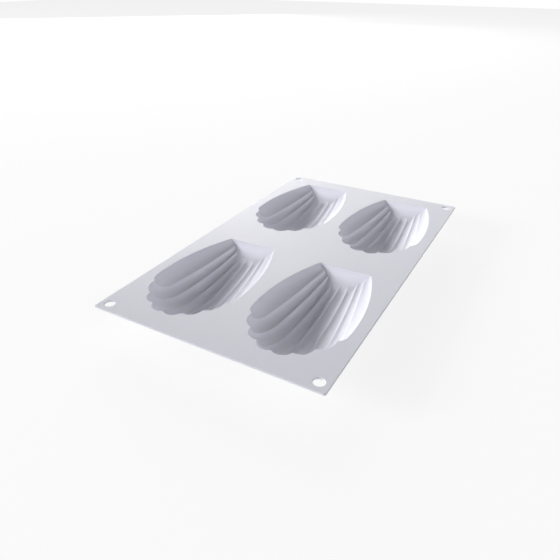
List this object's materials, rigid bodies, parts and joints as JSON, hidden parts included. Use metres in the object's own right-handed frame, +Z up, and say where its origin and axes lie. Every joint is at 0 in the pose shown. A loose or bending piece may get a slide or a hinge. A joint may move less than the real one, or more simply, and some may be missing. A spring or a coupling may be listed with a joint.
{
  "type": "madeleine mould",
  "caption": "Flexible baking mould: a thin rectangular sheet with fluted shell cups in two rows of two and a round hole near each corner",
  "frame": {"origin": "on the table below the middle of the sheet, where the cups' lowest flutes rest", "axes": "+X across the sheet, +Y along it towards the straight hinge ends of the shells, +Z up out of the mouths"},
  "size_m": [0.175, 0.3, 0.0233],
  "materials": {
    "white_silicone": "satin"
  },
  "bodies": {
    "root": {"mould_sheet": "white_silicone", "cavity_front_left": "white_silicone", "cavity_front_right": "white_silicone", "cavity_back_left": "white_silicone", "cavity_back_right": "white_silicone"}
  },
  "joints": []
}
